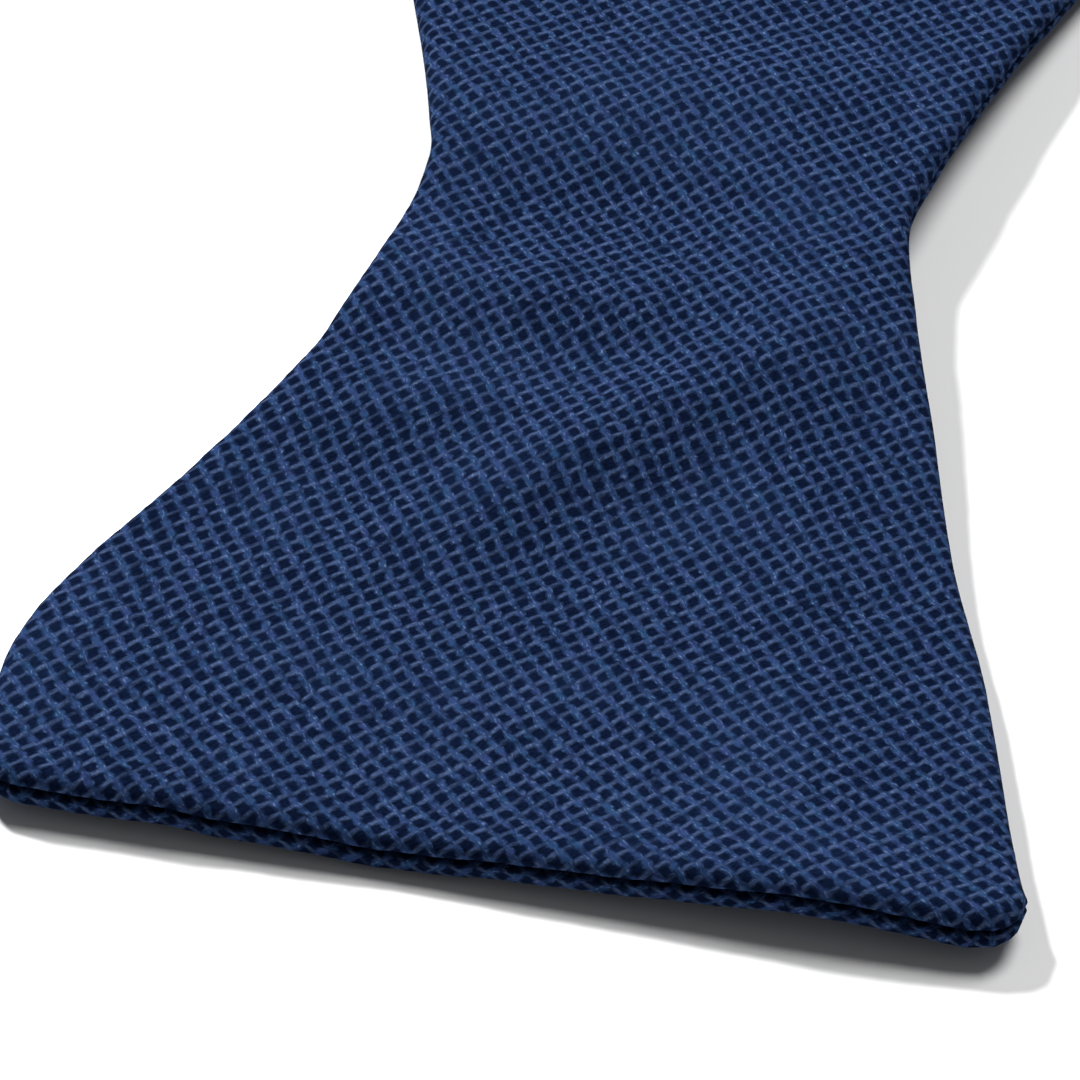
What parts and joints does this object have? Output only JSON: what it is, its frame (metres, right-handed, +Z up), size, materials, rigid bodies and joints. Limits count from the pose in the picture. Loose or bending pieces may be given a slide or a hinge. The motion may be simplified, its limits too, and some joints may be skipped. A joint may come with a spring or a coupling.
{
  "type": "bow tie",
  "caption": "Untied self-tie bow tie with two flared blades, lined and turned, on a neckband closed by a hook, an eye and a slide adjuster",
  "frame": {"origin": "on the table, under the middle of the tie's bounding box", "axes": "+Z up from the table, +Y from the blades' square ends towards the adjuster at the back of the neck, +X from half A towards half B"},
  "size_m": [0.178, 0.317, 0.02],
  "materials": {
    "tie_cloth": "matt navy cloth with a fine mini-check of dark squares and lighter blue lines, cut on the bias",
    "interlining": "unbleached canvas",
    "strap_tape": "dark navy ribbed tape",
    "nickel": "polished nickel plate",
    "thread": "dark navy sewing thread",
    "label_satin": "cream woven satin ribbon, blank"
  },
  "bodies": {
    "half_a": {"bow_face_a": "tie_cloth", "bow_back_a": "tie_cloth", "bow_interlining_a": "interlining", "band_outer_a": "tie_cloth", "band_inner_a": "tie_cloth", "band_interlining_a": "interlining", "band_end_tack_a": "thread", "woven_label": "label_satin", "adjuster_strap_lower": "strap_tape"},
    "tip_a": {"tip_face_a": "tie_cloth", "tip_back_a": "tie_cloth", "tip_interlining_a": "interlining"},
    "strap_turn": {"adjuster_strap_loop": "strap_tape"},
    "slide": {"slide_adjuster": "nickel", "adjuster_strap_tail": "strap_tape", "adjuster_strap_upper": "strap_tape", "slide_tack": "thread"},
    "hook": {"hook": "nickel"},
    "eye": {"eye": "nickel"},
    "half_b": {"bow_face_b": "tie_cloth", "bow_back_b": "tie_cloth", "bow_interlining_b": "interlining", "band_outer_b": "tie_cloth", "band_inner_b": "tie_cloth", "band_interlining_b": "interlining", "band_end_tack_b": "thread", "care_label": "label_satin", "eye_loop": "strap_tape"},
    "tip_b": {"tip_face_b": "tie_cloth", "tip_back_b": "tie_cloth", "tip_interlining_b": "interlining"}
  },
  "joints": [
    {"name": "fold_a", "type": "hinge", "parent": "half_a", "child": "tip_a", "pos_m": [-0.04573, -0.09432, 0.00558], "axis": [-0.9792, 0.2028, 0], "range_deg": [0, 150]},
    {"name": "adjust", "type": "slide", "parent": "half_a", "child": "strap_turn", "axis": [1, 0, 0], "range_m": [0, 0.022], "deforming": ["adjuster_strap_lower"]},
    {"name": "slide_travel", "type": "slide", "parent": "strap_turn", "child": "slide", "axis": [1, 0, 0], "range_m": [0, 0.022], "deforming": ["adjuster_strap_upper"]},
    {"name": "hook_swivel", "type": "hinge", "parent": "strap_turn", "child": "hook", "pos_m": [0.006, 0.15527, 0.01], "axis": [0, 0, 1], "range_deg": [0, 40]},
    {"name": "unhook", "type": "slide", "parent": "hook", "child": "eye", "axis": [-1, 0, 0], "range_m": [0, 0.0045]},
    {"name": "eye_swivel", "type": "hinge", "parent": "eye", "child": "half_b", "pos_m": [0.033, 0.15337, 0.01], "axis": [0, 0, 1], "range_deg": [0, 60]},
    {"name": "fold_b", "type": "hinge", "parent": "half_b", "child": "tip_b", "pos_m": [0.04573, -0.09432, 0.00558], "axis": [-0.9792, -0.2028, 0], "range_deg": [0, 150]}
  ],
  "couplings": [
    {"joint": "slide_travel", "follows": "adjust", "ratio": 1}
  ]
}
